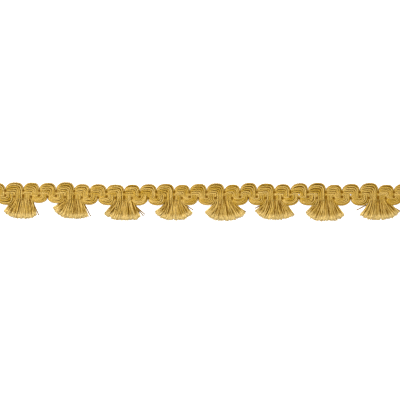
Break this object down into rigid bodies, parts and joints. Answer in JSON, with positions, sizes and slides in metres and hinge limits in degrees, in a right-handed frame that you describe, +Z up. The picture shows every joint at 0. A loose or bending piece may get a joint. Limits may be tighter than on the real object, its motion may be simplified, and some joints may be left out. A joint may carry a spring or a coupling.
{
  "type": "tassel trim",
  "caption": "Cut length of scroll gimp braid trim lying flat, its yarn bundle winding up and down, with pairs of cut ends fanned out as brush tassels along the lower edge.",
  "frame": {"origin": "middle of the trim's outline, on the surface that its back lies on", "axes": "+X along the trim, +Y across it from the tassels to the heading's scalloped upper edge, +Z up out of the trim's face"},
  "size_m": [0.2526, 0.0226, 0.0019],
  "materials": {
    "braid_yarn": "plied viscose and cotton yarn in mustard gold, soft sheen",
    "tassel_yarn": "combed-out cut yarn ends in mustard gold, paler and fuzzy at the tips"
  },
  "bodies": {
    "root": {"heading": "braid_yarn", "tassel_1": "tassel_yarn", "tassel_2": "tassel_yarn", "tassel_3": "tassel_yarn", "tassel_4": "tassel_yarn", "tassel_5": "tassel_yarn", "tassel_6": "tassel_yarn", "tassel_7": "tassel_yarn", "tassel_8": "tassel_yarn"}
  },
  "joints": []
}
